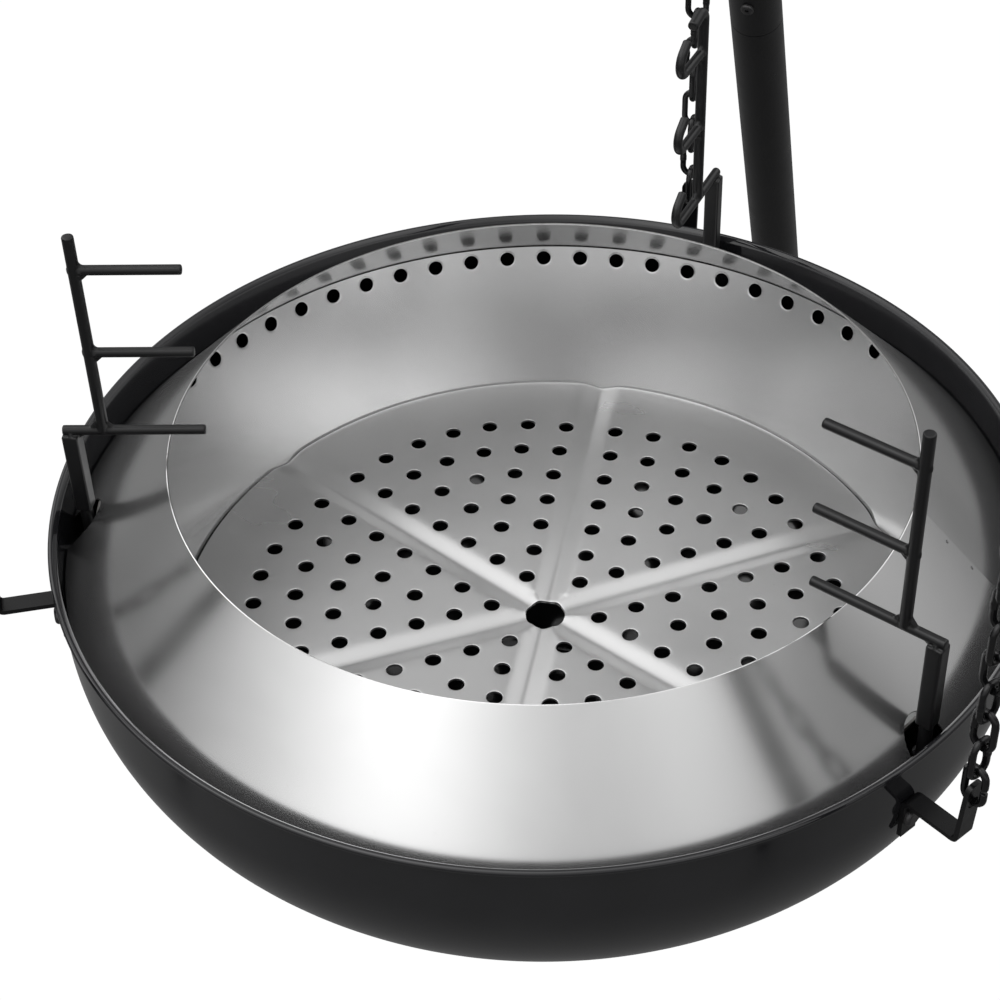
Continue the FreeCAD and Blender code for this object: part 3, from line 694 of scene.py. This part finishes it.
hq = np.array([h[2] for h in holes])
for t in fo:
    c = P2[list(t)].mean(0)
    if np.hypot(*c) > GRATE_R * math.cos(math.pi / NO) + 1e-6:
        continue
    if (np.hypot(hx[:, 0] - c[0], hx[:, 1] - c[1]) < hq * 0.985).any():
        continue
    keep.append(tuple(t))
nv = len(P2)
zt = np.array([grate_z(*P2[i]) for i in range(nv)])
dz = np.array([drop[s] for s in src])
e = 0.15
gx = np.array([(grate_z(P2[i][0] + e, P2[i][1]) - grate_z(P2[i][0] - e, P2[i][1])) / (2 * e) for i in range(nv)])
gy = np.array([(grate_z(P2[i][0], P2[i][1] + e) - grate_z(P2[i][0], P2[i][1] - e)) / (2 * e) for i in range(nv)])
verts = [(P2[i][0], P2[i][1], zt[i] + dz[i]) for i in range(nv)] + [(P2[i][0], P2[i][1], zt[i] - GRATE_T - dz[i] * 0.5) for i in range(nv)]
faces = list(keep) + [tuple(i + nv for i in t[::-1]) for t in keep]
back = {s: i for i, s in enumerate(src)}
for i0, n in bore_rings + [(outer0, NO)]:
    for k in range(n):
        a, b = back.get(i0 + k), back.get(i0 + (k + 1) % n)
        if a is None or b is None:
            continue
        faces.append((a, b, b + nv, a + nv))
make("grate_disc", verts, faces, "grate_steel", "grate", ["grate"], sharp=32)
SC["grate_triangles"] = len(keep)


# ------------------------------------------------------------------ grid holders: welded rod on a square post
def block(w, h0, h1, twist):
    """Square bar with broken corners."""
    c = 0.9
    ring = []
    q = w / 2
    for sx, sy in ((1, 1), (-1, 1), (-1, -1), (1, -1)):
        p1, p2 = (sx * q, sy * (q - c)), (sx * (q - c), sy * q)
        mid_ = (sx * (q - c * 0.29), sy * (q - c * 0.29))
        ring += [p1, mid_, p2] if sx * sy > 0 else [p2, mid_, p1]
    vs, fs = [], []
    levels = [(h0, 0.90), (h0 + 0.35, 0.965), (h0 + 1.0, 1.0), (h1 - 1.0, 1.0), (h1 - 0.35, 0.965), (h1, 0.90)]
    ca, sa = math.cos(rad(twist)), math.sin(rad(twist))
    for z, k in levels:
        for x, y in ring:
            vs.append(((x * ca - y * sa) * k, (x * sa + y * ca) * k, z))
    n = len(ring)
    for i in range(len(levels) - 1):
        for k in range(n):
            fs.append((i * n + k, i * n + (k + 1) % n, (i + 1) * n + (k + 1) % n, (i + 1) * n + k))
    fs.append(tuple(range(n))[::-1])
    fs.append(tuple(range((len(levels) - 1) * n, len(levels) * n)))
    return vs, fs


def fuse_rods(parts, voxel, rounds):
    """Joins rods and weld beads into one skin with soft fillets."""
    v, f = join(parts)
    me = bpy.data.meshes.new("tmp")
    me.from_pydata([tuple(x) for x in v], [], f)
    bm = bmesh.new()
    bm.from_mesh(me)
    bmesh.ops.recalc_face_normals(bm, faces=bm.faces)
    bm.to_mesh(me)
    bm.free()
    ob = bpy.data.objects.new("tmp", me)
    SC.collection.objects.link(ob)
    rm = ob.modifiers.new("r", "REMESH")
    rm.mode = "VOXEL"
    rm.voxel_size = voxel
    rm.adaptivity = 0.0
    sm = ob.modifiers.new("s", "SMOOTH")
    sm.factor = 0.5
    sm.iterations = rounds
    dg = bpy.context.evaluated_depsgraph_get()
    out = bpy.data.meshes.new_from_object(ob.evaluated_get(dg))
    vs = [tuple(x.co) for x in out.vertices]
    fs = [tuple(p.vertices) for p in out.polygons]
    bpy.data.objects.remove(ob)
    bpy.data.meshes.remove(me)
    bpy.data.meshes.remove(out)
    return vs, fs


def seg(a, b, r, n=14, cap=0.6, k=1):
    return sweep([Vector(a) + (Vector(b) - Vector(a)) * (i / k) for i in range(k + 1)] if k > 1 else [a, (Vector(a) + Vector(b)) / 2, b], r, n, False, cap)


for nm, rp, az, pdir, twist, xu, zp, ztop, xe, hooks in HOLDERS:
    h = 5.0
    parts = [block(10.0, 97.0, zp[0] - 2.4, twist)]
    rr = 3.08
    ru = 3.58
    if hooks:
        for i, z in enumerate(zp):
            xo = -h + 0.2 if i == 0 else xu
            pth = [Vector((xo, 0, z)), Vector(((xo + xe[i]) / 2, 0, z)), Vector((xe[i], 0, z))]
            for a in range(10, 151, 10):
                pth.append(Vector((xe[i] + 8.5 * math.sin(rad(a)), 0, z + 8.5 - 8.5 * math.cos(rad(a)))))
            t = Vector((math.cos(rad(150)), 0, math.sin(rad(150))))
            pth += [pth[-1] + t * 4.5, pth[-1] + t * 9.0]
            parts.append(sweep(pth, rr, 14, False, 0.7))
        pth = [Vector((xu, 0, zp[0])), Vector((xu, 0, zp[0] + 60)), Vector((xu, 0, ztop - 6))]
        p1 = Vector((xu, 0, ztop + 2))
        for a in range(0, 91, 15):
            pth.append(Vector((xu + 7 - 7 * math.cos(rad(a)), 0, ztop - 5 + 6.6 * math.sin(rad(a)))))
        pth += [Vector((xu + 13, 0, ztop + 0.4)), Vector((xu + 19.8, 0, ztop - 1.0))]
        parts.append(sweep(pth, ru, 16, False, 0.7))
    else:
        for i, z in enumerate(zp):
            parts.append(seg((-h + 0.2 if i == 0 else xu, 0, z), (xe[i], 0, z), rr))
        parts.append(seg((xu, 0, zp[0]), (xu, 0, ztop), ru, 16))
    # weld metal: under and over each peg, at the foot of the upright and on top of the post
    for i, z in enumerate(zp):
        if i == 0:
            parts.append(seg((xu - 6.0, 0, z + 2.2), (xu - 2.0, 0, z + 6.8), 1.9, 10, 0.8))
            parts.append(seg((xu + 5.4, 0, z + 2.2), (xu + 2.2, 0, z + 5.8), 1.6, 10, 0.8))
            parts.append(seg((4.4, 0, z - 4.0), (8.0, 0, z - 1.6), 1.7, 10, 0.8))
            parts.append(seg((0, 3.6, z - 3.0), (0, 2.4, z - 0.8), 1.2, 10, 0.6))
            parts.append(seg((0, -3.6, z - 3.0), (0, -2.4, z - 0.8), 1.2, 10, 0.6))
        else:
            parts.append(seg((xu + 2.2, 0, z - 5.6), (xu + 6.2, 0, z - 2.0), 1.9, 10, 0.8))
            parts.append(seg((xu + 2.0, 0, z + 4.6), (xu + 5.0, 0, z + 2.0), 1.4, 10, 0.8))
            parts.append(seg((xu - 2.6, 0, z - 2.0), (xu - 2.6, 0, z + 2.0), 1.6, 10, 0.8))
            for sg in (1, -1):
                parts.append(seg((xu + 2.6, sg * 2.4, z - 1.0), (xu + 4.6, sg * 2.0, z), 1.4, 10, 0.8))
    vs, fs = fuse_rods(parts, 0.55, 5)
    c = (rp * math.cos(rad(az)), rp * math.sin(rad(az)), 0.0)
    make("holder_" + nm + "_welded", *placed((vs, fs), pdir, c), "holder_coat", "holder_" + nm,
         ["holder_post_" + nm, "holder_upright_" + nm, "holder_pegs_" + nm], sharp=0)
    vs, fs = sweep([(0, 0, 58.0), (0, 0, 70), (0, 0, 97.5)], 4.0, 20, False, 0.8)
    make("holder_" + nm + "_spigot", *placed((vs, fs), pdir, c), "holder_coat", "holder_" + nm, sharp=40)


# ------------------------------------------------------------------ chains: bent wire links, each with its weld
def link_part(opened, seed):
    w = (LINK_W + WIRE_D) / 2
    h = (LINK_IN + WIRE_D) / 2 - w
    pth, rr = [], []
    r = WIRE_D / 2

    def put(x, z, q=1.0):
        pth.append(Vector((x, 0, z)))
        rr.append(r * q)

    if opened:
        for z in (1.3, 3.0, h):
            put(w, z)
    else:
        for z, q in ((0.0, 1.06), (0.7, 1.17), (1.5, 1.12), (2.4, 1.02), (4.0, 1.0), (h, 1.0)):
            put(w, z, q)
    for a in range(15, 180, 15):
        put(w * math.cos(rad(a)), h + w * math.sin(rad(a)), 1.0 - 0.02 * math.sin(rad(a)))
    for z in (h, h * 0.4, -h * 0.4, -h):
        put(-w, z)
    for a in range(195, 360, 15):
        put(w * math.cos(rad(a)), -h + w * math.sin(rad(a)), 1.0 + 0.02 * math.sin(rad(a)))
    if opened:
        for z in (-h, -3.0, -1.3):
            put(w, z)
        return sweep(pth, rr, 14, False, 0.5)
    for z, q in ((-h, 1.0), (-4.0, 1.0), (-2.4, 1.02), (-1.5, 1.12), (-0.7, 1.17)):
        put(w, z, q)
    return sweep(pth, rr, 14, True)


def placed_link(i, az):
    part = link_part(i == LINK_N - 1, i)
    turn = 90 if i % 2 == 0 else 0
    if i % 4 in (2, 3):
        turn += 180
    if i == LINK_N - 1:
        turn = 90 if i % 2 == 0 else 0
    v, f = placed(part, turn, (CHAIN_R, 0, INT_TOP - LINK_IN / 2 - i * LINK_STEP))
    return placed((v, f), az, (0, 0, 0))


for nm, az in LEGS:
    make("link_first_" + nm, *placed_link(0, az), "chain_coat", nm + "_top_link", ["chain_first_link_" + nm], sharp=50)
    make("links_" + nm, *join([placed_link(i, az) for i in range(1, LINK_N - 1)]), "chain_coat", nm + "_chain", ["chain_" + nm], sharp=50)
    make("link_end_" + nm, *placed_link(LINK_N - 1, az), "chain_coat", nm + "_end_link", ["chain_end_link_" + nm], sharp=50)

# ------------------------------------------------------------------ carried-over solids get their finish
for sp in frame["record"]["subparts"]:
    o = NODES[sp["node"]]
    if o.hide_render:
        continue
    mt = M[sp["material_slot"]].m
    if not o.data.materials:
        o.data.materials.append(mt)
    for s in o.material_slots:
        s.link = "OBJECT"
        s.material = mt

# ------------------------------------------------------------------ floor, light, camera
fm = bpy.data.materials.new("floor_white")
fm.use_nodes = True
fb = fm.node_tree.nodes["Principled BSDF"]
fb.inputs["Base Color"].default_value = (0.14, 0.14, 0.14, 1)
fb.inputs["Roughness"].default_value = 0.9
ft = fm.node_tree
fe = ft.nodes.new("ShaderNodeEmission")
fe.inputs["Strength"].default_value = 1.02
flp = ft.nodes.new("ShaderNodeLightPath")
fmx = ft.nodes.new("ShaderNodeMixShader")
ft.links.new(flp.outputs["Is Camera Ray"], fmx.inputs[0])
ft.links.new(fb.outputs[0], fmx.inputs[1])
ft.links.new(fe.outputs[0], fmx.inputs[2])
ft.links.new(fmx.outputs[0], ft.nodes["Material Output"].inputs["Surface"])
me = bpy.data.meshes.new("floor")
q = 9.0
me.from_pydata([(-q, -q, 0), (q, -q, 0), (q, q, 0), (-q, q, 0)], [], [(0, 1, 2, 3)])
me.materials.append(fm)
fl = bpy.data.objects.new("floor", me)
SC.collection.objects.link(fl)

w = bpy.data.worlds.new("studio")
SC.world = w
w.use_nodes = True
nt = w.node_tree
for k in list(nt.nodes):
    nt.nodes.remove(k)
out = nt.nodes.new("ShaderNodeOutputWorld")
tc = nt.nodes.new("ShaderNodeTexCoord")


def wmath(op, a, b=None, c=None):
    k = nt.nodes.new("ShaderNodeMath")
    k.operation = op
    for i, v_ in enumerate((a, b, c)):
        if v_ is None:
            continue
        if isinstance(v_, (int, float)):
            k.inputs[i].default_value = v_
        else:
            nt.links.new(v_, k.inputs[i])
    return k.outputs[0]


nv_ = nt.nodes.new("ShaderNodeVectorMath")
nv_.operation = "NORMALIZE"
nt.links.new(tc.outputs["Generated"], nv_.inputs[0])
direction = nv_.outputs[0]


def lobe(az, el, kappa, strength):
    """Soft round light: strength * exp(kappa * (cos(angle) - 1))."""
    k = nt.nodes.new("ShaderNodeVectorMath")
    k.operation = "DOT_PRODUCT"
    nt.links.new(direction, k.inputs[0])
    k.inputs[1].default_value = (math.cos(rad(el)) * math.cos(rad(az)), math.cos(rad(el)) * math.sin(rad(az)), math.sin(rad(el)))
    x = wmath("MULTIPLY", wmath("SUBTRACT", k.outputs["Value"], 1.0), kappa)
    return wmath("MULTIPLY", wmath("EXPONENT", x), strength)


TURN = 20.6
# azimuth, elevation, tightness, strength; azimuths as seen from the camera's own frame
LOBES = [
    (-154.3, 6, 20, 0.508), (-128.6, 6, 20, 0.400), (-102.9, 6, 20, 0.286), (-77.1, 6, 20, 0.175), (-51.4, 6, 20, 1.000), (-25.7, 6, 20, 0.346),
    (51.4, 6, 20, 0.128), (128.6, 6, 20, 0.168), (-124.6, 22, 20, 0.332), (-96.9, 22, 20, 0.364), (-69.2, 22, 20, 0.427), (13.8, 22, 20, 0.497),
    (41.5, 22, 20, 0.509), (124.6, 22, 20, 0.661), (152.3, 22, 20, 0.124), (-180, 38, 20, 0.873), (-147.3, 38, 20, 0.664), (-114.5, 38, 20, 0.410),
    (-49.1, 38, 20, 0.118), (16.4, 38, 20, 0.449), (49.1, 38, 20, 1.001), (114.5, 38, 20, 0.726), (147.3, 38, 20, 1.488), (-180, 54, 20, 1.237),
    (-135, 54, 20, 1.763), (-90, 54, 20, 0.574), (-45, 54, 20, 1.406), (0, 54, 20, 0.809), (45, 54, 20, 0.257), (90, 54, 20, 0.176),
    (135, 54, 20, 0.444), (-180, 72, 20, 1.278), (-90, 72, 20, 0.226), (0, 72, 20, 0.811), (90, 72, 20, 0.108), (-180, 88, 20, 0.843)]
total = None
BASE_L = 0.02
for az_, el_, ka_, st_ in LOBES:
    x = lobe(az_ + TURN, el_, ka_, st_)
    total = x if total is None else wmath("ADD", total, x)
total = wmath("ADD", total, BASE_L)
comb = nt.nodes.new("ShaderNodeCombineColor")
for i in range(3):
    nt.links.new(total, comb.inputs[i])
bg = nt.nodes.new("ShaderNodeBackground")
nt.links.new(comb.outputs[0], bg.inputs["Color"])
bg.inputs["Strength"].default_value = 1.0
bgc = nt.nodes.new("ShaderNodeBackground")
bgc.inputs["Color"].default_value = (1, 1, 1, 1)
bgc.inputs["Strength"].default_value = 0.97
lp = nt.nodes.new("ShaderNodeLightPath")
mx = nt.nodes.new("ShaderNodeMixShader")
nt.links.new(lp.outputs["Is Camera Ray"], mx.inputs[0])
nt.links.new(bg.outputs[0], mx.inputs[1])
nt.links.new(bgc.outputs[0], mx.inputs[2])
nt.links.new(mx.outputs[0], out.inputs["Surface"])

cam_d = bpy.data.cameras.new("camera")
cam_d.lens = 78.6
cam_d.sensor_width = 36.0
cam_d.clip_start = 0.05
cam_d.clip_end = 60.0
cam = bpy.data.objects.new("camera", cam_d)
SC.collection.objects.link(cam)
p_, ro_ = rad(41.012), rad(-2.083)
fwd = Vector((0, math.cos(p_), -math.sin(p_)))
up = Vector((0, math.sin(p_), math.cos(p_)))
right = Vector((1, 0, 0))
r2 = right * math.cos(ro_) + up * math.sin(ro_)
u2 = right * -math.sin(ro_) + up * math.cos(ro_)
Z = Matrix.Rotation(rad(TURN), 3, "Z")
r2, u2, fwd = Z @ r2, Z @ u2, Z @ fwd
mw = Matrix.Identity(4)
for i in range(3):
    mw[i][0], mw[i][1], mw[i][2] = r2[i], u2[i], -fwd[i]
mw.translation = Vector((0.33037, -1.15396, 1.4754))
cam.matrix_world = mw
SC.camera = cam
SC.view_settings.view_transform = "Standard"
